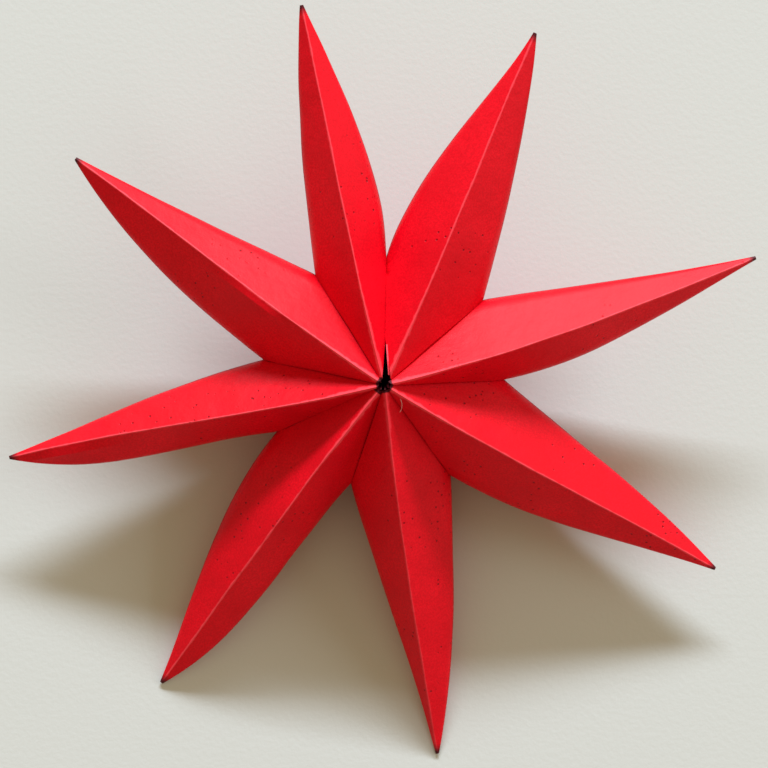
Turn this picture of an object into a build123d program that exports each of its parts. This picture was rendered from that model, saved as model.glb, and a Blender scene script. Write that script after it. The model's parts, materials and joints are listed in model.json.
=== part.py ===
from build123d import *

import os
from collections import namedtuple
from math import atan, cos, degrees, radians, sin, sqrt, tan

# A three-dimensional star of folded paper, about 155 mm across. Each point is one sheet of thin card
# with a sharp fold in front and one behind, rounded at its sides, pinched shut at its tip and open at
# its inner end. The points are hollow, and are glued flank to flank around a small open hub.
# All sizes are in millimetres and all angles in degrees.

PAPER = 0.3
POINT_LENGTH = 79.0
DEPTH_AT_HUB = 34.0
GLUED_LENGTH = 25.0
HUB_HOLE_RADIUS = 1.4
TIP_THICKNESS = 0.7
TIP_PINCH_LENGTH = 7.0
CLOSING_SEAM_GAP = 0.4

# How a flank curves from the front fold to the side edge, as shares of its half width and half depth:
# it runs nearly flat towards this place, and then turns round the side.
FLANK_REACH = 0.8
FLANK_DROP = 0.35

# The points in the order in which they are glued, clockwise, so that the last seam, which closes the
# ring, lies between the last point and the first. It gapes a little at the hub. No two points are quite
# alike. Azimuth is anticlockwise from +X. Longer is what a point has more than the usual length. Seam is
# the azimuth of the glued seam on the point's right, as seen from the hub, and glued is what that seam
# has more than the usual length. A bow says how far a line lies off a straight one between its ends, at
# one third and at two thirds of its length: outwards for the two free edges, which run from the inner
# corner to the tip, and to the left for the folds, which run from the hub to the tip.
Point = namedtuple("Point", "azimuth longer seam glued left_bow right_bow fold_bow")
POINTS = [
    Point(66.5, -2.0, seam=38.5, glued=1.0, left_bow=(2.3, 1.0), right_bow=(1.0, 1.2), fold_bow=(-0.35, -0.1)),
    Point(18.0, 1.0, seam=-0.6, glued=-0.4, left_bow=(-0.2, -0.4), right_bow=(2.5, 1.7), fold_bow=(-1.75, -1.45)),
    Point(-30.0, 0.0, seam=-56.0, glued=-0.6, left_bow=(0.6, 1.0), right_bow=(1.8, 1.0), fold_bow=(-0.5, -0.2)),
    Point(-82.0, 0.0, seam=-107.5, glued=-2.0, left_bow=(1.4, 1.7), right_bow=(0.1, -0.3), fold_bow=(-0.75, -0.6)),
    Point(-126.0, 0.0, seam=-153.5, glued=-0.2, left_bow=(1.3, 2.7), right_bow=(2.5, 1.6), fold_bow=(-0.7, -0.55)),
    Point(-168.0, 0.0, seam=-188.8, glued=0.2, left_bow=(1.4, 2.7), right_bow=(1.0, 0.6), fold_bow=(0.3, -0.35)),
    Point(-215.5, -1.5, seam=-236.4, glued=0.7, left_bow=(2.4, 2.7), right_bow=(-0.3, -0.3), fold_bow=(0.6, 0.2)),
    Point(-257.5, -1.0, seam=-271.0, glued=0.0, left_bow=(1.1, 1.3), right_bow=(2.8, 2.1), fold_bow=(0.5, 0.3)),
]

# Places along a point at which its outline is drawn, as shares of the hollow part and of the pinched tip
# beyond it. The hollow is drawn at the same places as the outside, which keeps the wall even.
HOLLOW_PLACES = (0.0, 0.17, 0.34, 0.44, 0.54, 0.64, 0.74, 0.83, 0.92, 1.0)
PINCH_PLACES = (0.5, 1.0)

LEFT = 1
RIGHT = -1
half_depth = DEPTH_AT_HUB / 2
half_tip = TIP_THICKNESS / 2


def length_of(index):
    """Distance from the middle of the hub to the tip."""
    return POINT_LENGTH + POINTS[index].longer


def reach_to_front(index):
    """How far a tip lies from the hub towards -Y, the side on which the star comes to rest."""
    return -length_of(index) * sin(radians(POINTS[index].azimuth))


# The star lies on the back of its hub and on the two tips nearest to -Y. The nearer one is straight, and
# sets the tilt. The other sags, from its glued part on, until it touches too.
straight_rest, sagging_rest = sorted(range(len(POINTS)), key=reach_to_front, reverse=True)[:2]
resting_tilt = degrees(atan((half_depth - half_tip) / reach_to_front(straight_rest)))


def seam_row(index, side):
    """The row of the table that holds the seam on that side of a point."""
    return POINTS[index] if side == RIGHT else POINTS[index - 1]


def seam_angle(index, side):
    """The angle between a point's axis and the seam on that side."""
    return radians(side * (seam_row(index, side).seam - POINTS[index].azimuth) % 360)


def inner_corner(index, side):
    """Where the glued seam ends: how far along the point's axis, and how far to that side of it."""
    glued = GLUED_LENGTH + seam_row(index, side).glued
    angle = seam_angle(index, side)
    return glued * cos(angle), glued * sin(angle)


def free_share(index, side, along):
    """0 up to the end of the glued seam, and from there rising to 1 at the tip."""
    start = inner_corner(index, side)[0]
    return max(0.0, (along - start) / (length_of(index) - start))


def bowed(bow, share):
    """How far a bowed line lies off the straight one: the cubic that is nothing at both ends."""
    early, late = bow
    return 4.5 * share * (1 - share) * (early * (2 - 3 * share) + late * (3 * share - 1))


def half_width(index, side, along):
    """Distance of a side edge from the point's axis."""
    corner_width = inner_corner(index, side)[1]
    bow = POINTS[index].left_bow if side == LEFT else POINTS[index].right_bow
    share = free_share(index, side, along)
    return corner_width * (1 - share) + half_tip * share + bowed(bow, share)


def fold_height(index, along):
    """Height of the front fold over the middle of the point, on a straight line from hub to tip."""
    share = along / length_of(index)
    return half_depth * (1 - share) + half_tip * share


def fold_shift(index, along):
    """How far the folds lie to the left of the point's axis."""
    return bowed(POINTS[index].fold_bow, along / length_of(index))


def sag(index, along):
    """How far a point bends towards the back of the star."""
    if index != sagging_rest:
        return 0.0
    height_if_straight = half_depth - half_tip - reach_to_front(index) * tan(radians(resting_tilt))
    return height_if_straight * free_share(index, LEFT, along) ** 2


def flank(index, side, along, inset):
    """The rounded line from the front fold round one side to the back fold, as one curve."""
    fold = fold_shift(index, along)
    middle = -sag(index, along)
    full_height = fold_height(index, along)
    mean_width = (half_width(index, LEFT, along) + half_width(index, RIGHT, along)) / 2
    height = full_height - inset * sqrt(1 + (full_height / mean_width) ** 2)
    width = half_width(index, side, along) - side * fold - inset
    near = FLANK_REACH * width
    # The middle control point lies outside the flank, so that the flank just reaches its width.
    outside = (8 * width - 4 * near) / 3
    points = [
        (along, fold, middle + height),
        (along, fold + side * near, middle + FLANK_DROP * height),
        (along, fold + side * outside, middle),
        (along, fold + side * near, middle - FLANK_DROP * height),
        (along, fold, middle - height),
    ]
    return Bezier(*points) if side == LEFT else Bezier(*reversed(points))


def raw_form(index, inset, with_tip):
    """A point along +X before its sides are pressed flat against its neighbours, as a solid."""
    hollow_length = length_of(index) - TIP_PINCH_LENGTH
    places = [share * hollow_length for share in HOLLOW_PLACES]
    if with_tip:
        places += [hollow_length + share * TIP_PINCH_LENGTH for share in PINCH_PLACES]
    return Solid.make_loft(
        [Wire([flank(index, side, along, inset) for side in (LEFT, RIGHT)]) for along in places]
    )


def seam_plane(index, side, inset):
    """The plane of one glued seam, or the inner face of the paper there, facing into the point."""
    angle = seam_angle(index, side)
    corner_along, corner_width = inner_corner(index, side)
    corner = Vector(corner_along, side * corner_width)
    gapes = (index, side) in ((0, LEFT), (len(POINTS) - 1, RIGHT))
    hub_end = Vector(sin(angle), -side * cos(angle)) * (CLOSING_SEAM_GAP / 2 if gapes else 0)
    along = (corner - hub_end).normalized()
    inward = Vector(side * along.Y, -side * along.X)
    return Plane(origin=corner + inward * inset, z_dir=inward)


def pressed_form(index, inset, with_tip):
    """The point with flat sides where it is glued."""
    form = raw_form(index, inset, with_tip)
    for side in (LEFT, RIGHT):
        form = split(form, bisect_by=seam_plane(index, side, inset), keep=Keep.TOP)
    return form


def folded_point(index):
    """One hollow point along +X, its inner end cut away by the hole at the hub."""
    hollow = pressed_form(index, PAPER, with_tip=False)
    hub_hole = Cylinder(HUB_HOLE_RADIUS, 2 * DEPTH_AT_HUB)
    return pressed_form(index, 0, with_tip=True) - hollow - hub_hole


def resting_star():
    """All points turned to their places, with the star tilted as it lies on a table."""
    tilt = Rot(X=resting_tilt)
    star = [tilt * Rot(Z=POINTS[i].azimuth) * folded_point(i) for i in range(len(POINTS))]
    box = Compound(star).bounding_box()
    return [Pos(-box.center().X, -box.center().Y, -box.min.Z) * point for point in star]


if __name__ == "__main__":
    os.makedirs("parts", exist_ok=True)
    for number, point in enumerate(resting_star(), start=1):
        export_step(point, f"parts/folded_point_{number}.step")
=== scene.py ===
# %% [markdown]
# # A three-dimensional star of folded red card
# Eight hollow points of thin card are glued flank to flank around a small open hub. The star lies on a
# pale sheet, on the back of its hub and on two of its tips. The exact solids come from the imported frame.
# This script adds what makes it look like card that someone folded by hand: worn folds, pinched tips,
# slight dents, the edge of the tab in the last glued seam, and the fibres and pits of the card. Its colour
# also holds painted light: a painted highlight along the folds, and painted shade at the sides, tips and hub.

# %% Load the frame
import json
from collections import namedtuple
from math import atan2, cos, degrees, pi, radians, sin, sqrt, tan

import bmesh
import bpy
from mathutils import Matrix, Vector, noise


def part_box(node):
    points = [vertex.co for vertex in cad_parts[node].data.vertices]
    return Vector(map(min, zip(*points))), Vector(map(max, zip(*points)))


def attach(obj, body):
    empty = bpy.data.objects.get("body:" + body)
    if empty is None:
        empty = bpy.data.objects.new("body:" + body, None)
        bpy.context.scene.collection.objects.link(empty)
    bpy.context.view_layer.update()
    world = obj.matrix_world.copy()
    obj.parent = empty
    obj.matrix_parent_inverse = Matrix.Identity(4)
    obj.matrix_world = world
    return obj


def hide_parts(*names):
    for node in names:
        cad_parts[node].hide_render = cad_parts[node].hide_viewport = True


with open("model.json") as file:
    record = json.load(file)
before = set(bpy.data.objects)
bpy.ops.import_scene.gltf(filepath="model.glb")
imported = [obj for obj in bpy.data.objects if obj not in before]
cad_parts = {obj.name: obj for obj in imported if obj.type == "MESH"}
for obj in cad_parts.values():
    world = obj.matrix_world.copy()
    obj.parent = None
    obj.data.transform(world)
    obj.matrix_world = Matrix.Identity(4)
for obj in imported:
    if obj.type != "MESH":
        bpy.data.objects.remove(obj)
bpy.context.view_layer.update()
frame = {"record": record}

# %% [markdown]
# ## Where the star lies
# The star is tilted on its sheet, so it is easiest to model each point lying along +X, with the hub at
# the origin, and to turn it to its place at the end. The hub's middle and the star's own axis come from
# the hole through the hub, which the record gives as a mount.

# %% The star's own frame
MM = 0.001
hub_hole = frame["record"]["mounts"][0]
hub_middle = Vector(hub_hole["pos_m"])
star_axis = Vector(hub_hole["axis"])
tilt = atan2(-star_axis.y, star_axis.z)
star_to_row = Matrix.Translation(hub_middle) @ Matrix.Rotation(tilt, 4, "X")
print("hub at", [round(v / MM, 2) for v in hub_middle], "mm, tilt", round(degrees(tilt), 2), "degrees")

# %% [markdown]
# ## The measures of the folded points
# No two points are alike, as on any star that is folded by hand. Each has its direction, its length, the
# direction of the glued seam on its right, and how much longer than usual that seam is. Its left and
# right edges each bow out by their own amounts at one third and at two thirds of their free length, and
# its folds wander a little to the left. They are the same measures as in the solids. Azimuth is
# anticlockwise from +X, and left and right are as seen from the hub.

# %% Sizes in millimetres
CARD = 0.3
POINT_LENGTH = 79.0
HALF_DEPTH = 17.0
GLUED_LENGTH = 25.0
HUB_HOLE_RADIUS = 1.4
HALF_TIP = 0.35
PINCH = 7.0
# One point bends down to the sheet: which one, and how far its tip lies below where it would if straight.
SAGGING_POINT = 4
SAG = 3.05

Point = namedtuple("Point", "azimuth longer seam glued left_bow right_bow fold_bow")
POINTS = [
    Point(66.5, -2.0, 38.5, 1.0, (2.3, 1.0), (1.0, 1.2), (-0.35, -0.1)),
    Point(18.0, 1.0, -0.6, -0.4, (-0.2, -0.4), (2.5, 1.7), (-1.75, -1.45)),
    Point(-30.0, 0.0, -56.0, -0.6, (0.6, 1.0), (1.8, 1.0), (-0.5, -0.2)),
    Point(-82.0, 0.0, -107.5, -2.0, (1.4, 1.7), (0.1, -0.3), (-0.75, -0.6)),
    Point(-126.0, 0.0, -153.5, -0.2, (1.3, 2.7), (2.5, 1.6), (-0.7, -0.55)),
    Point(-168.0, 0.0, -188.8, 0.2, (1.4, 2.7), (1.0, 0.6), (0.3, -0.35)),
    Point(-215.5, -1.5, -236.4, 0.7, (2.4, 2.7), (-0.3, -0.3), (0.6, 0.2)),
    Point(-257.5, -1.0, -271.0, 0.0, (1.1, 1.3), (2.8, 2.1), (0.5, 0.3)),
]
LEFT, RIGHT = 1, -1
print(len(POINTS), "points,", [POINT_LENGTH + point.longer for point in POINTS], "mm long")


# %% Lengths and seams of a point
def length_of(index):
    """From the middle of the hub to the tip."""
    return POINT_LENGTH + POINTS[index].longer


def seam_row(index, side):
    """The row of the table that holds the seam on that side of a point."""
    return POINTS[index] if side == RIGHT else POINTS[index - 1]


def seam_angle(index, side):
    """The angle between a point's axis and the seam on that side."""
    return radians(side * (seam_row(index, side).seam - POINTS[index].azimuth) % 360)


def inner_corner(index, side):
    """Where the glued seam ends: how far along the point's axis, and how far to that side of it."""
    glued = GLUED_LENGTH + seam_row(index, side).glued
    return glued * cos(seam_angle(index, side)), glued * sin(seam_angle(index, side))


def free_share(index, side, along):
    """0 up to the end of the glued seam, and from there rising to 1 at the tip."""
    start = inner_corner(index, side)[0]
    return max(0.0, (along - start) / (length_of(index) - start))


print("the first point's seams end at",
      [[round(v, 1) for v in inner_corner(0, side)] for side in (LEFT, RIGHT)], "mm")


# %% Width, height and bend at a place along a point
def bowed(bow, share):
    """How far a bowed line lies off the straight one: the cubic that is nothing at both ends."""
    early, late = bow
    return 4.5 * share * (1 - share) * (early * (2 - 3 * share) + late * (3 * share - 1))


def half_width(index, side, along):
    """Distance of a side edge from the point's axis."""
    bow = POINTS[index].left_bow if side == LEFT else POINTS[index].right_bow
    share = free_share(index, side, along)
    return inner_corner(index, side)[1] * (1 - share) + HALF_TIP * share + bowed(bow, share)


def fold_height(index, along):
    """Height of the front fold, on a straight line from the hub to the tip."""
    share = along / length_of(index)
    return HALF_DEPTH * (1 - share) + HALF_TIP * share


def fold_shift(index, along):
    """How far the folds lie to the left of the point's axis."""
    return bowed(POINTS[index].fold_bow, along / length_of(index))


def sag(index, along):
    """How far the point that bends down to the sheet has bent."""
    return SAG * free_share(index, LEFT, along) ** 2 if index == SAGGING_POINT else 0.0


print("half widths of the first point at 30, 50 and 70 mm:",
      [round(half_width(0, LEFT, s), 1) for s in (30, 50, 70)])

# %% [markdown]
# ## Small helpers for edit mode
# An operator acts on all that is selected, so each step starts with nothing selected and picks its
# edges by their place.

# %% Select by place, and cut
# Places that lie closer together than this count as one, in millimetres.
NEAR = 0.01


def pick_edges(test):
    """Selects the edges of the piece in edit mode whose two ends pass the test."""
    mesh = bmesh.from_edit_mesh(bpy.context.object.data)
    bpy.ops.mesh.select_mode(type="EDGE")
    bpy.ops.mesh.select_all(action="DESELECT")
    for edge in mesh.edges:
        if all(test(v.co / MM) for v in edge.verts):
            edge.select_set(True)
    mesh.select_flush_mode()
    bmesh.update_edit_mesh(bpy.context.object.data)


def cut(place, normal):
    """Cuts the piece in edit mode with a plane, keeps what lies where the normal points, and fills the cut.

    Blender takes places within a tenth of a millimetre of the plane as lying on it. The worn folds are
    finer than that, and on seven points the outside loses the two flat faces that get glued. Their
    neighbours hide it. Blender also limits each part of the normal to 1.
    """
    bpy.ops.mesh.select_all(action="SELECT")
    bpy.ops.mesh.bisect(plane_co=Vector(place) * MM, plane_no=normal, use_fill=True, clear_inner=True)


# %% [markdown]
# ## One folded point
# On the real star a point is one sheet of card with a sharp fold in front and one behind. Its sides are
# rounded, its tip is pinched shut, and its inner end is open. A ring with four corners is pulled out
# from the hub to the tip, station by station, and each ring is scaled to the width and height of the
# point there. Bevelling the two side lines by a share of the flank gives the rounded sides, and a fine
# bevel wears the two folds. This form is made twice, once for the outside and once, a card thickness
# smaller, for the hollow.

# %% Pull a ring out to the tip
# The form starts a little behind the hub, so that the cuts along the seams go right through it.
BEHIND_HUB = -3.0
STATION_STEP = 1.8
# The side lines of the four-cornered form lie outside the real edge, and the bevel takes them back to it.
SIDE_OUTSIDE = 1.28
SIDE_BEVEL_PERCENT = 37.3
FOLD_BEVEL = 0.14


def set_ring(index, inset, along, place):
    """Moves the four corners of the picked ring to the width and height of the point at that place."""
    mesh = bmesh.from_edit_mesh(bpy.context.object.data)
    ring = [v for v in mesh.verts if v.select]
    left = max(ring, key=lambda v: v.co.y)
    right = min(ring, key=lambda v: v.co.y)
    front = max(ring, key=lambda v: v.co.z)
    back = min(ring, key=lambda v: v.co.z)
    height = fold_height(index, place)
    mean = (half_width(index, LEFT, place) + half_width(index, RIGHT, place)) / 2
    # The inset is measured square to the flank, which slopes.
    height -= inset * sqrt(1 + (height / mean) ** 2)
    fold, middle = fold_shift(index, place), -sag(index, place)
    front.co = Vector((along, fold, middle + height)) * MM
    back.co = Vector((along, fold, middle - height)) * MM
    for corner, side in ((left, LEFT), (right, RIGHT)):
        width = (half_width(index, side, place) - side * fold - inset) * SIDE_OUTSIDE
        corner.co = Vector((along, fold + side * width, middle)) * MM
    bmesh.update_edit_mesh(bpy.context.object.data)


def lance(index, inset, end):
    """The closed form with four corners, from behind the hub to its end near or at the tip."""
    bpy.ops.object.select_all(action="DESELECT")
    bpy.ops.mesh.primitive_circle_add(vertices=4, radius=MM, fill_type="NGON", rotation=(0, pi / 2, 0))
    bpy.ops.object.transform_apply(rotation=True)
    bpy.ops.object.mode_set(mode="EDIT")
    bpy.ops.mesh.select_mode(type="VERT")
    bpy.ops.mesh.select_all(action="SELECT")
    set_ring(index, inset, BEHIND_HUB, 0.0)
    count = round(end / STATION_STEP)
    for n in range(count + 1):
        along = end * n / count
        bpy.ops.mesh.select_mode(type="FACE")
        bpy.ops.mesh.extrude_region_move()
        set_ring(index, inset, along, along)
    return bpy.context.object


# %% Find the side lines, the folds and the seams
def on_side(index):
    """A test for places on the two side lines."""
    def test(p):
        along = max(p.x, 0)
        return abs(p.z + sag(index, along)) < NEAR and abs(p.y - fold_shift(index, along)) > NEAR

    return test


def on_fold(index):
    """A test for places on the two folds."""
    return lambda p: abs(p.y - fold_shift(index, max(p.x, 0))) < NEAR / 2


def seam(index, side, inset):
    """A place on a glued seam, or on the inner face of the card there, and the way into the point."""
    along, across = inner_corner(index, side)
    corner = Vector((along, side * across, 0))
    line = corner.normalized()
    inward = Vector((side * line.y, -side * line.x, 0))
    return corner + inward * inset, inward


# %% [markdown]
# ## Second creases and the open end of the last seam
# Two of the points were creased a second time beside their front fold. There a narrow facet lies flatter
# than the rest of the flank. A cut along the flank gives it an edge, and lifting the middle of the cut
# makes the facet. The last seam to be glued gapes at its front, near the hub. A slanting cut on each side
# of it opens a wedge that narrows downwards and outwards, so no light comes through it from below.

# %% Second creases beside a fold
# On which side of the fold and how far off the axis a crease lies, where it starts and ends as shares of
# the point's length, how far it rises, and how early: at 1 it is highest in its middle, and below 1
# nearer to the hub.
SecondCrease = namedtuple("SecondCrease", "side off start end rise early")
SECOND_CREASES = {
    5: SecondCrease(LEFT, 1.6, 0.68, 1.0, 0.75, 1.0),
    6: SecondCrease(LEFT, 2.0, 0.27, 0.57, 0.9, 0.7),
}
# The cut goes through front and back, and only what lies this far in front of the middle is lifted.
LOWEST_CREASE = 0.3
# Where the cut lies lower than this, near a tip, it rises less.
FULL_RISE_HEIGHT = 1.5


def second_crease(index):
    """Cuts the flank along a line beside its fold, and lifts the middle of the cut."""
    crease = SECOND_CREASES[index]
    bpy.ops.mesh.select_all(action="SELECT")
    bpy.ops.mesh.bisect(plane_co=(0, crease.side * crease.off * MM, 0), plane_no=(0, 1, 0))

    def share(p):
        return (p.x / length_of(index) - crease.start) / (crease.end - crease.start)

    def on_cut(p):
        return abs(p.y - crease.side * crease.off) < NEAR and p.z > LOWEST_CREASE and 0 < share(p) < 1

    pick_edges(on_cut)
    bpy.ops.mesh.mark_sharp()
    mesh = bmesh.from_edit_mesh(bpy.context.object.data)
    lifted = [v for v in mesh.verts if on_cut(v.co / MM)]
    print("second crease on point", index + 1, "lifts", len(lifted), "vertices")
    for v in lifted:
        room = min(1.0, (v.co.z / MM) / FULL_RISE_HEIGHT)
        v.co.z += crease.rise * MM * room * sin(pi * share(v.co / MM) ** crease.early)
    bmesh.update_edit_mesh(bpy.context.object.data)


# %% The wedge in the last seam
WEDGE_TOP = 14.0
WEDGE_BOTTOM = -4.0
# How much of each side is cut away at the hub, and how far along the glued seam that reaches, as a share.
# The last seam lies between the last point and the first.
WEDGES = {(0, LEFT): (1.25, 0.44), (len(POINTS) - 1, RIGHT): (0.35, 0.42)}
# Both sides also have a thin cut that reaches further.
THIN_WEDGE = (0.12, 0.75)


def wedge(index, side, inset, gap, share):
    """Cuts one side of the last seam away, most at the front of the hub."""
    corner, inward = seam(index, side, 0)
    far = corner * share + inward * inset + Vector((0, 0, WEDGE_TOP))
    near = inward * (gap + inset) + Vector((0, 0, WEDGE_TOP))
    deep = inward * inset + Vector((0, 0, WEDGE_BOTTOM))
    normal = (near - far).cross(deep - far).normalized()
    cut(near, normal if normal.dot(inward) > 0 else -normal)


# %% Make one wall of a point, outside or inside
def wall(index, inset, end):
    """A lance with rounded sides and worn folds, pressed flat where it is glued."""
    piece = lance(index, inset, end)
    pick_edges(on_side(index))
    bpy.ops.mesh.bevel(offset_type="PERCENT", offset_pct=SIDE_BEVEL_PERCENT, segments=8, profile=0.5)
    if inset == 0:
        pick_edges(on_fold(index))
        bpy.ops.mesh.bevel(offset_type="OFFSET", offset=FOLD_BEVEL * MM, segments=3, profile=0.5)
        if index in SECOND_CREASES:
            second_crease(index)
    for side in (LEFT, RIGHT):
        cut(*seam(index, side, inset))
        if (index, side) in WEDGES:
            for gap, share in (THIN_WEDGE, WEDGES[index, side]):
                wedge(index, side, inset, gap, share)
    bpy.ops.object.mode_set(mode="OBJECT")
    return piece


# %% Join the two walls and open the point at the hub
# The fifth point frayed at the hub, and its end lies a little further out.
FRAYED_POINT = 4
FRAYED_END = 2.1
# The hole flares a little at its front, where the inner corners of the points are worn. Its cut aims at
# a smaller radius at the back, but slants more than that, and takes off only the front corners.
HUB_HOLE_AT_BACK = 0.9
FLARE = 0.15


def hub_end(index):
    """How far from the middle of the hub a point begins, at its front."""
    return FRAYED_END if index == FRAYED_POINT else HUB_HOLE_RADIUS + FLARE


def folded_point(index):
    """A hollow point along +X, its front corner at the hub cut off."""
    outside = wall(index, 0, length_of(index))
    # Making the hollow leaves only the hollow selected, so the outside is picked again to join the two.
    wall(index, CARD, length_of(index) - PINCH)
    outside.select_set(True)
    bpy.context.view_layer.objects.active = outside
    bpy.ops.object.join()
    bpy.ops.object.mode_set(mode="EDIT")
    narrowing = hub_end(index) - HUB_HOLE_AT_BACK
    cut((hub_end(index), 0, HALF_DEPTH), (2 * HALF_DEPTH, 0, -narrowing))
    bpy.ops.mesh.select_all(action="SELECT")
    bpy.ops.mesh.normals_make_consistent(inside=False)
    bpy.ops.object.mode_set(mode="OBJECT")
    return outside


# %% [markdown]
# ## What the material needs to know
# Folds are where card gets worn. The colour also paints a highlight along the folds, and paints shade along
# the sides, at the tips and at the hub. Each vertex keeps how far it lies from the fold, from the side and
# from the tip, and from the hub, in millimetres, so the material can follow the point's own shape. How worn
# its fold is, and how strong the painted highlight on it is, differs from point to point.

# %% Distances on a point, and its dents
# How worn each point's fold is. This also sets how strong the painted highlight along that fold is.
FOLD_WEAR_AND_HIGHLIGHT = (0.8, 0.9, 0.9, 0.55, 1.0, 1.0, 1.0, 0.8)
# Where the fold is lower than this, the band of painted shade along the side narrows with it.
FULL_BAND_HEIGHT = 8.0
DENT_DEPTH = 0.14
DENT_LENGTH = 11.0
# Blender's noise starts from the clock unless it is given a seed.
DENT_SEED = 8
noise.seed_set(DENT_SEED)


def keep_distances(piece, index):
    """Two attributes: distances from fold, side and tip, then the distance from the hub and the fold's wear,
    which also sets its painted highlight.
    """
    fold_side_tip_distances = piece.data.attributes.new("fold_side_tip", "FLOAT_VECTOR", "POINT")
    inner = piece.data.attributes.new("hub_and_fold_wear_highlight", "FLOAT_VECTOR", "POINT")
    for v in piece.data.vertices:
        p = v.co / MM
        along = max(0.0, p.x)
        off = abs(p.y - fold_shift(index, along))
        side = abs(p.z + sag(index, along)) * max(1.0, FULL_BAND_HEIGHT / fold_height(index, along))
        fold_side_tip_distances.data[v.index].vector = (off, side, length_of(index) - p.x)
        inner.data[v.index].vector = (p.x - hub_end(index), FOLD_WEAR_AND_HIGHLIGHT[index], 0.0)


def dent(piece):
    """Moves each vertex a little, the same way for all points, so that their glued sides still meet."""
    for v in piece.data.vertices:
        v.co += noise.noise_vector(v.co / (DENT_LENGTH * MM)) * DENT_DEPTH * MM
        v.co.z = max(v.co.z, 0.0)


# %% Turn each point to its place
# Edges that bend by more than this, in degrees, stay sharp.
SHARP_BEND = 38
card_points = []
for index, point in enumerate(POINTS):
    piece = folded_point(index)
    piece.name = f"card_point_{index + 1}"
    piece.data.name = piece.name
    keep_distances(piece, index)
    piece.data.transform(star_to_row @ Matrix.Rotation(radians(point.azimuth), 4, "Z"))
    dent(piece)
    piece.data.update()
    bpy.ops.object.shade_smooth_by_angle(angle=radians(SHARP_BEND), keep_sharp_edges=True)
    bpy.ops.object.modifier_add(type="WEIGHTED_NORMAL")
    piece.modifiers[-1].keep_sharp = True
    bpy.ops.object.modifier_apply(modifier=piece.modifiers[-1].name)
    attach(piece, "root")
    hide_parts(f"folded_point_{index + 1}")
    card_points.append(piece)
    solid_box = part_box(f"folded_point_{index + 1}")
    places = [v.co for v in piece.data.vertices]
    piece_box = [Vector([end(p[i] for p in places) for i in range(3)]) for end in (min, max)]
    print(piece.name, len(piece.data.polygons), "faces, off the solid's box by",
          [[round(v / MM, 2) for v in (own - solid)] for own, solid in zip(piece_box, solid_box)], "mm")

# %% [markdown]
# ## The tab in the last seam, and a stray fibre
# The edge of the glue tab stands up in the open wedge of the last seam, and shows the paler core of the
# card. Near the hub a glued fibre lies across a valley. The tab starts as a flat outline that is given
# the thickness of the card, and the fibre as a smooth curve with a round section.

# %% Tab
LAST_SEAM = 89.0
# The tab's outline: how far from the hub, and how high over the middle of the star.
TAB_OUTLINE = [(1.9, 9.8), (1.9, 15.3), (4.6, 14.5), (7.8, 12.3), (7.8, 7.0)]
# The tab leans towards the seam: how far from the hub, and how far to the right of the seam.
TAB_LEAN = ((1.5, 0.9), (9.0, 0.21))


def tab_side(along):
    """How far the tab lies to the left of the last seam. It is less than nothing, to the right."""
    (start, start_off), (end, end_off) = TAB_LEAN
    return -(start_off + (end_off - start_off) * (along - start) / (end - start))


bpy.ops.object.select_all(action="DESELECT")
bpy.ops.mesh.primitive_circle_add(vertices=len(TAB_OUTLINE), radius=MM, fill_type="NGON")
tab = bpy.context.object
tab.name = tab.data.name = "seam_tab"
for v, (along, height) in zip(tab.data.vertices, TAB_OUTLINE):
    v.co = Vector((along, tab_side(along), height)) * MM
bpy.ops.object.modifier_add(type="SOLIDIFY")
tab.modifiers[-1].thickness = CARD * MM
tab.modifiers[-1].offset = 0
bpy.ops.object.modifier_apply(modifier=tab.modifiers[-1].name)
bpy.ops.object.mode_set(mode="EDIT")
bpy.ops.mesh.select_all(action="SELECT")
bpy.ops.mesh.normals_make_consistent(inside=False)
bpy.ops.object.mode_set(mode="OBJECT")
tab.data.transform(star_to_row @ Matrix.Rotation(radians(LAST_SEAM), 4, "Z"))
print("tab of", len(tab.data.polygons), "faces")

# %% Fibre
FIBRE_RADIUS = 0.05
# Five places in the star's own frame, from the flank beside the hub down into the valley.
FIBRE_LINE = [
    (3.2, -3.0, 15.15), (3.5, -3.7, 14.6), (3.65, -4.4, 14.0), (3.5, -5.1, 13.65), (3.1, -5.8, 13.35),
]
bpy.ops.object.select_all(action="DESELECT")
bpy.ops.curve.primitive_nurbs_path_add(radius=MM)
fibre = bpy.context.object
fibre.data.bevel_depth = FIBRE_RADIUS * MM
fibre.data.bevel_resolution = 2
fibre.data.use_fill_caps = True
for knot, place in zip(fibre.data.splines[0].points, FIBRE_LINE):
    knot.co = (*(star_to_row @ (Vector(place) * MM)), 1.0)
bpy.ops.object.convert(target="MESH")
fibre = bpy.context.object
fibre.name = fibre.data.name = "glued_fibre"
for piece in (tab, fibre):
    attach(piece, "root")
print("fibre of", len(fibre.data.polygons), "faces")

# %% [markdown]
# ## The camera
# The photograph looks down on the star from nearly above, a little from the side of the two tips that
# it rests on.

# %% Camera
CAMERA_DISTANCE = 0.6
CAMERA_LEAN = 7.2
SENSOR = 36
# The focal length, the picture's side and the shift of its middle to the right and up, in pixels.
FOCAL_PIXELS = 3000.0
PICTURE = 768
SHIFT = (-0.5, 1.0)
hub_front = star_to_row @ Vector((0, 0, HALF_DEPTH * MM))
lean = radians(CAMERA_LEAN)
bpy.ops.object.camera_add(
    location=hub_front + Vector((0, -sin(lean), cos(lean))) * CAMERA_DISTANCE, rotation=(lean, 0, 0)
)
camera = bpy.context.object
camera.name = "camera"
camera.data.sensor_width = SENSOR
camera.data.lens = SENSOR * FOCAL_PIXELS / PICTURE
camera.data.shift_x, camera.data.shift_y = (pixels / PICTURE for pixels in SHIFT)
camera.data.clip_end = 20
bpy.context.scene.camera = camera
print("lens", round(camera.data.lens, 1), "mm")

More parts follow.
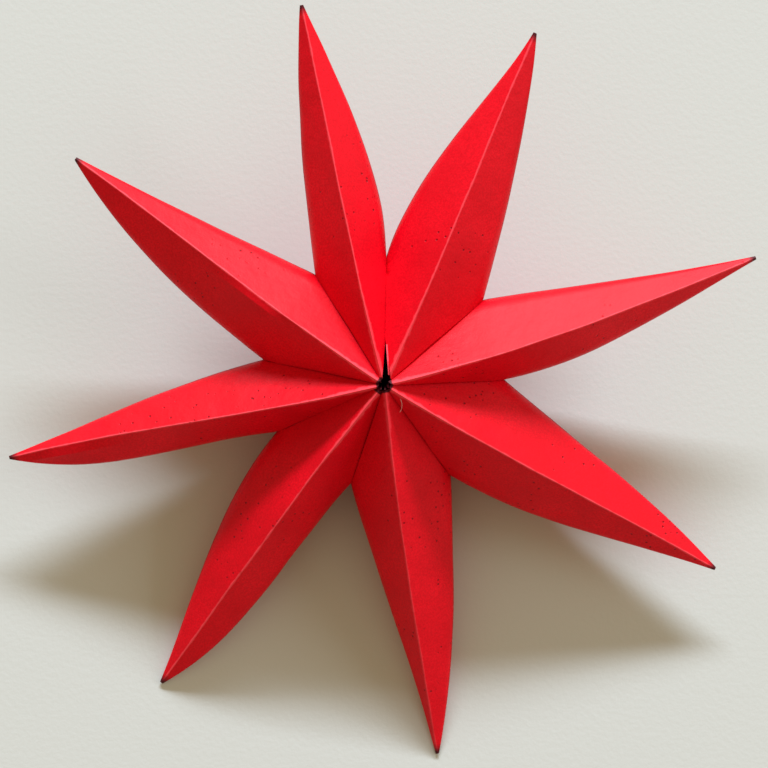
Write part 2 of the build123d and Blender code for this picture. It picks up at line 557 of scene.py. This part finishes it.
# %% [markdown]
# ## Colours and nodes
# Colours are written as sRGB hex values, and one function turns them to the linear values that Blender
# works with. Another adds a node with its settings and links. Patterns on the object's own coordinates
# are scaled from the real size of their details.

# %% Colour and node helpers
# The sockets of a Mix node that are for colours.
MIX_FACTOR, MIX_BELOW, MIX_ABOVE, MIX_RESULT = 0, 6, 7, 2


def colour(hex_value):
    """A linear colour from an sRGB hex value."""
    parts = [int(hex_value[i:i + 2], 16) / 255 for i in (1, 3, 5)]
    return tuple(c / 12.92 if c <= 0.04045 else ((c + 0.055) / 1.055) ** 2.4 for c in parts) + (1.0,)


def scale(size):
    """The scale of a pattern whose details have this size in millimetres."""
    return 1 / (size * MM)


def add_node(tree, kind, inputs=None, **settings):
    """A node of that kind, with its settings, and with values or links for its inputs."""
    node = tree.nodes.new(kind)
    for name, value in settings.items():
        setattr(node, name, value)
    for name, value in (inputs or {}).items():
        if isinstance(value, bpy.types.NodeSocket):
            tree.links.new(value, node.inputs[name])
        else:
            node.inputs[name].default_value = value
    return node


# %% [markdown]
# ## Red craft card
# Dyed craft card is pressed from soft fibres. Its face is matt with a fine mottling and a faint sheen at
# low angles, and small pits show where fibres were pulled out. Its folds are rubbed to a paler pink, which
# also stands for a painted highlight along them. Painted shade darkens the pinched tips, the rim of the
# hole at the hub and the rounded sides. Patterns of noise on the object's own coordinates give the fibres,
# and the distances kept on each point place the wear, the painted highlight and the painted shade.

# %% Fibres and mottling
# Real fibres are finer than a tenth of a millimetre. These are drawn at 0.4 mm, so that they show.
FIBRE_WIDTH = 0.4
MOTTLE_WIDTH = 9.0
card = bpy.data.materials.new("matt_dyed_craft_card")
card.use_nodes = True
tree = card.node_tree
tree.nodes.clear()
place = add_node(tree, "ShaderNodeTexCoord").outputs["Object"]
fibres, mottle = (
    add_node(
        tree, "ShaderNodeTexNoise", {"Vector": place, "Scale": scale(width), "Detail": 3.0}
    ).outputs["Fac"]
    for width in (FIBRE_WIDTH, MOTTLE_WIDTH)
)
print(card.name, "has", len(tree.nodes), "nodes so far")

# %% Pits
# One pit lies in each cell of the pattern. Only some cells are chosen, and only those in certain patches.
PIT_SPACING = 1.3
PIT_PATCH = 22.0
UNCHOSEN_SHARE = 0.45
cells = add_node(tree, "ShaderNodeTexVoronoi", {"Vector": place, "Scale": scale(PIT_SPACING)})
near_cell = add_node(
    tree, "ShaderNodeMapRange",
    {"Value": cells.outputs["Distance"], "From Min": 0.08, "From Max": 0.22, "To Min": 1.0, "To Max": 0.0},
).outputs[0]
cell_value = add_node(tree, "ShaderNodeSeparateXYZ", {"Vector": cells.outputs["Color"]}).outputs[0]
chosen = add_node(
    tree, "ShaderNodeMath", {0: cell_value, 1: UNCHOSEN_SHARE}, operation="GREATER_THAN"
).outputs[0]
patches = add_node(
    tree, "ShaderNodeTexNoise", {"Vector": place, "Scale": scale(PIT_PATCH), "Detail": 1.0}
).outputs["Fac"]
# The card was handled most near the hub, and most pits are there.
inner = add_node(tree, "ShaderNodeAttribute", attribute_name="hub_and_fold_wear_highlight")
from_hub, fold_wear_and_highlight, _ = add_node(tree, "ShaderNodeSeparateXYZ", {"Vector": inner.outputs["Vector"]}).outputs
handled = add_node(
    tree, "ShaderNodeMapRange",
    {"Value": from_hub, "From Min": 5.0, "From Max": 35.0, "To Min": 0.12, "To Max": 0.0},
).outputs[0]
patches = add_node(tree, "ShaderNodeMath", {0: patches, 1: handled}, operation="ADD").outputs[0]
in_patch = add_node(
    tree, "ShaderNodeMapRange", {"Value": patches, "From Min": 0.55, "From Max": 0.6}
).outputs[0]
pit = near_cell
for mask in (chosen, in_patch):
    pit = add_node(tree, "ShaderNodeMath", {0: pit, 1: mask}, operation="MULTIPLY").outputs[0]
print(card.name, "has", len(tree.nodes), "nodes so far")

# %% Rubbed folds, partly a painted highlight
# The rubbed line, which is partly wear and partly a painted highlight, is about a millimetre wide at the hub,
# and half of that further out. Its edge is ragged.
RAG_WIDTH = 1.6
fold_side_tip_distances = add_node(tree, "ShaderNodeAttribute", attribute_name="fold_side_tip")
off_fold, from_side, from_tip = add_node(
    tree, "ShaderNodeSeparateXYZ", {"Vector": fold_side_tip_distances.outputs["Vector"]}
).outputs
rubbed_highlight_width = add_node(
    tree, "ShaderNodeMapRange",
    {"Value": from_hub, "From Min": 0.0, "From Max": 20.0, "To Min": 0.55, "To Max": 0.2},
).outputs[0]
ragged = add_node(
    tree, "ShaderNodeTexNoise", {"Vector": place, "Scale": scale(RAG_WIDTH), "Detail": 3.0}
).outputs["Fac"]
rubbed_highlight_width = add_node(tree, "ShaderNodeMath", {0: rubbed_highlight_width, 1: ragged}, operation="MULTIPLY").outputs[0]
# The paler line along each fold is partly wear and partly a painted highlight.
rubbed_and_highlight = add_node(tree, "ShaderNodeMath", {0: off_fold, 1: rubbed_highlight_width}, operation="DIVIDE").outputs[0]
rubbed_and_highlight = add_node(
    tree, "ShaderNodeMapRange",
    {"Value": rubbed_and_highlight, "From Min": 1.2, "From Max": 2.4, "To Min": 1.0, "To Max": 0.0},
).outputs[0]
rubbed_and_highlight = add_node(tree, "ShaderNodeMath", {0: rubbed_and_highlight, 1: fold_wear_and_highlight}, operation="MULTIPLY").outputs[0]
print(card.name, "has", len(tree.nodes), "nodes so far")

# %% Painted shade at the sides, tips and hub
# For each place: the distance from it, where the painted shade is full, where it ends, and how strong it is.
PAINTED_SHADE_PLACES = ((from_side, 0.2, 1.3, 0.7), (from_tip, 0.5, 2.2, 0.95), (from_hub, -0.05, 0.2, 0.95))
painted_side_shade, painted_tip_shade, painted_hub_shade = (
    add_node(
        tree, "ShaderNodeMapRange",
        {"Value": distance, "From Min": full, "From Max": end, "To Min": strength, "To Max": 0.0},
    ).outputs[0]
    for distance, full, end, strength in PAINTED_SHADE_PLACES
)
print(card.name, "has", len(tree.nodes), "nodes so far")

# %% Colours of the card, from its dye to its wear and painted light
CARD_DEEP = "#D40018"
CARD_LIGHT = "#EC041E"
CARD_SHADE = "#C80014"
PIT_DARK = "#80000E"
# Partly rubbed card and partly a painted highlight along the folds.
RUBBED_PINK_AND_HIGHLIGHT = "#F04450"
# Painted shade in the deep hole at the hub, along the rounded sides and at the pinched tips.
HUB_PAINTED_SHADE = "#24040A"
SIDE_PAINTED_SHADE = "#800024"
TIP_PAINTED_SHADE = "#34060E"
grain = add_node(tree, "ShaderNodeMapRange", {"Value": fibres, "From Min": 0.35, "From Max": 0.65}).outputs[0]
shaded = add_node(
    tree, "ShaderNodeMapRange",
    {"Value": mottle, "From Min": 0.35, "From Max": 0.75, "To Min": 0.0, "To Max": 0.6},
).outputs[0]
# Layers over the dye: grain, mottling and pits, then the rubbed folds with their painted highlight, and
# painted shade at the hub, the sides and the tips.
shade = colour(CARD_DEEP)
for factor, over in ((grain, CARD_LIGHT), (shaded, CARD_SHADE), (pit, PIT_DARK), (rubbed_and_highlight, RUBBED_PINK_AND_HIGHLIGHT),
                     (painted_hub_shade, HUB_PAINTED_SHADE), (painted_side_shade, SIDE_PAINTED_SHADE), (painted_tip_shade, TIP_PAINTED_SHADE)):
    shade = add_node(
        tree, "ShaderNodeMix", {MIX_FACTOR: factor, MIX_BELOW: shade, MIX_ABOVE: colour(over)},
        data_type="RGBA",
    ).outputs[MIX_RESULT]
print(card.name, "has", len(tree.nodes), "nodes so far")

# %% Relief and finish of the card
# How far fibres and soft dents stand up, and how deep a pit is, in millimetres.
FIBRE_HEIGHT = 0.03
MOTTLE_HEIGHT = 0.35
PIT_DEPTH = 0.1
height = 0.0
for pattern, size in ((fibres, FIBRE_HEIGHT), (mottle, MOTTLE_HEIGHT), (pit, -PIT_DEPTH)):
    height = add_node(
        tree, "ShaderNodeMath", {0: pattern, 1: size, 2: height}, operation="MULTIPLY_ADD"
    ).outputs[0]
bump = add_node(tree, "ShaderNodeBump", {"Height": height, "Strength": 1.0, "Distance": MM}).outputs[0]
# Uncoated card is matt: its highlight is wide and weak.
shader = add_node(tree, "ShaderNodeBsdfPrincipled",
                  {"Base Color": shade, "Roughness": 0.47, "Specular IOR Level": 0.15, "Normal": bump})
add_node(tree, "ShaderNodeOutputMaterial", {"Surface": shader.outputs["BSDF"]})
for piece in card_points:
    piece.data.materials.clear()
    piece.data.materials.append(card)
print(card.name, "has", len(tree.nodes), "nodes")

# %% [markdown]
# ## The cut edge of the card, and the fibre
# Where card is cut, its core shows paler and rougher than its dyed face. The fibre is dried clear glue and
# pulled paper, so it is whitish and a little glossy.

# %% Materials of the tab and the fibre
def mottled_material(name, low, high, roughness, specular):
    """A material whose colour is mottled between two shades."""
    material = bpy.data.materials.new(name)
    material.use_nodes = True
    tree = material.node_tree
    tree.nodes.clear()
    place = add_node(tree, "ShaderNodeTexCoord").outputs["Object"]
    grain = add_node(
        tree, "ShaderNodeTexNoise", {"Vector": place, "Scale": scale(FIBRE_WIDTH)}
    ).outputs["Fac"]
    shade = add_node(
        tree, "ShaderNodeMix", {MIX_FACTOR: grain, MIX_BELOW: colour(low), MIX_ABOVE: colour(high)},
        data_type="RGBA",
    ).outputs[MIX_RESULT]
    shader = add_node(tree, "ShaderNodeBsdfPrincipled",
                      {"Base Color": shade, "Roughness": roughness, "Specular IOR Level": specular})
    add_node(tree, "ShaderNodeOutputMaterial", {"Surface": shader.outputs["BSDF"]})
    return material


tab.data.materials.append(
    mottled_material("cut_edge_of_dyed_card", "#E03044", "#FF6470", roughness=0.8, specular=0.1))
fibre.data.materials.append(
    mottled_material("dried_glue_fibre", "#D8A0A8", "#F0D0D0", roughness=0.4, specular=0.4))
print([m.name for m in (*tab.data.materials, *fibre.data.materials)])

# %% [markdown]
# ## The sheet under the star, and the light
# The star lies on a pale matt sheet. Daylight comes from a wide, low window beyond the star, and warm
# light from the room fills the shadows. The window is a long area light, so that edges that run the same
# way as it does throw sharp shadows, and all others throw soft ones.

# %% Floor
# The sheet is rough drawing paper, with a grain of about a millimetre that stands up by a few hundredths.
SHEET_COLOUR = "#C8CCC9"
SHEET_GRAIN = 1.1
SHEET_RELIEF = 0.04
bpy.ops.object.select_all(action="DESELECT")
bpy.ops.mesh.primitive_plane_add(size=4.0)
floor = bpy.context.object
floor.name = "floor"
sheet = bpy.data.materials.new("pale_sheet")
sheet.use_nodes = True
tree = sheet.node_tree
tree.nodes.clear()
place = add_node(tree, "ShaderNodeTexCoord").outputs["Object"]
grain = add_node(
    tree, "ShaderNodeTexNoise", {"Vector": place, "Scale": scale(SHEET_GRAIN), "Detail": 3.0}
).outputs["Fac"]
bump = add_node(
    tree, "ShaderNodeBump", {"Height": grain, "Strength": 1.0, "Distance": SHEET_RELIEF * MM}
).outputs[0]
shader = add_node(
    tree, "ShaderNodeBsdfPrincipled",
    {"Base Color": colour(SHEET_COLOUR), "Roughness": 0.9, "Specular IOR Level": 0.2, "Normal": bump},
)
add_node(tree, "ShaderNodeOutputMaterial", {"Surface": shader.outputs["BSDF"]})
floor.data.materials.append(sheet)
print(floor.name, "of", [round(v, 1) for v in floor.dimensions], "m")

# %% Windows
LIGHT_DISTANCE = 5.0


def window_light(name, azimuth, elevation, half_width, half_height, level, tone):
    """A rectangular light, its place and size given as angles. The level is how bright it lights white."""
    around, up = radians(azimuth), radians(elevation)
    way = Vector((cos(around) * cos(up), sin(around) * cos(up), sin(up)))
    bpy.ops.object.light_add(type="AREA", location=way * LIGHT_DISTANCE,
                             rotation=way.to_track_quat("Z", "Y").to_euler())
    light = bpy.context.object
    light.name = name
    light.data.shape = "RECTANGLE"
    light.data.size = 2 * LIGHT_DISTANCE * tan(radians(half_width))
    light.data.size_y = 2 * LIGHT_DISTANCE * tan(radians(half_height))
    light.data.energy = level * (pi * LIGHT_DISTANCE) ** 2
    light.data.color = colour(tone)[:3]
    print(name, "of", round(light.data.energy), "W")


window_light("window", azimuth=84, elevation=28, half_width=20, half_height=3, level=1.85, tone="#E8F2FF")
window_light("right_window", azimuth=10, elevation=30, half_width=15, half_height=10, level=0.2,
             tone="#FFFFFF")

# %% The room
# The room's warm light fills the shadows. What the camera, a gloss or a clear surface sees of it is a
# plain pale backdrop.
ROOM_LIGHT, ROOM_LEVEL = "#FFE4B6", 0.47
BACKDROP, BACKDROP_LEVEL = "#C8C8C4", 1.0
world = bpy.data.worlds.new("room")
bpy.context.scene.world = world
world.use_nodes = True
tree = world.node_tree
tree.nodes.clear()
rays = add_node(tree, "ShaderNodeLightPath")
seen = rays.outputs["Is Camera Ray"]
for kind in ("Is Glossy Ray", "Is Transmission Ray"):
    seen = add_node(tree, "ShaderNodeMath", {0: seen, 1: rays.outputs[kind]}, operation="MAXIMUM").outputs[0]
fill, backdrop = (
    add_node(tree, "ShaderNodeBackground", {"Color": colour(tone), "Strength": level}).outputs[0]
    for tone, level in ((ROOM_LIGHT, ROOM_LEVEL), (BACKDROP, BACKDROP_LEVEL))
)
mixed = add_node(tree, "ShaderNodeMixShader", {0: seen, 1: fill, 2: backdrop})
add_node(tree, "ShaderNodeOutputWorld", {"Surface": mixed.outputs[0]})
bpy.context.scene.view_settings.view_transform = "Standard"
print(world.name, "has", len(tree.nodes), "nodes")
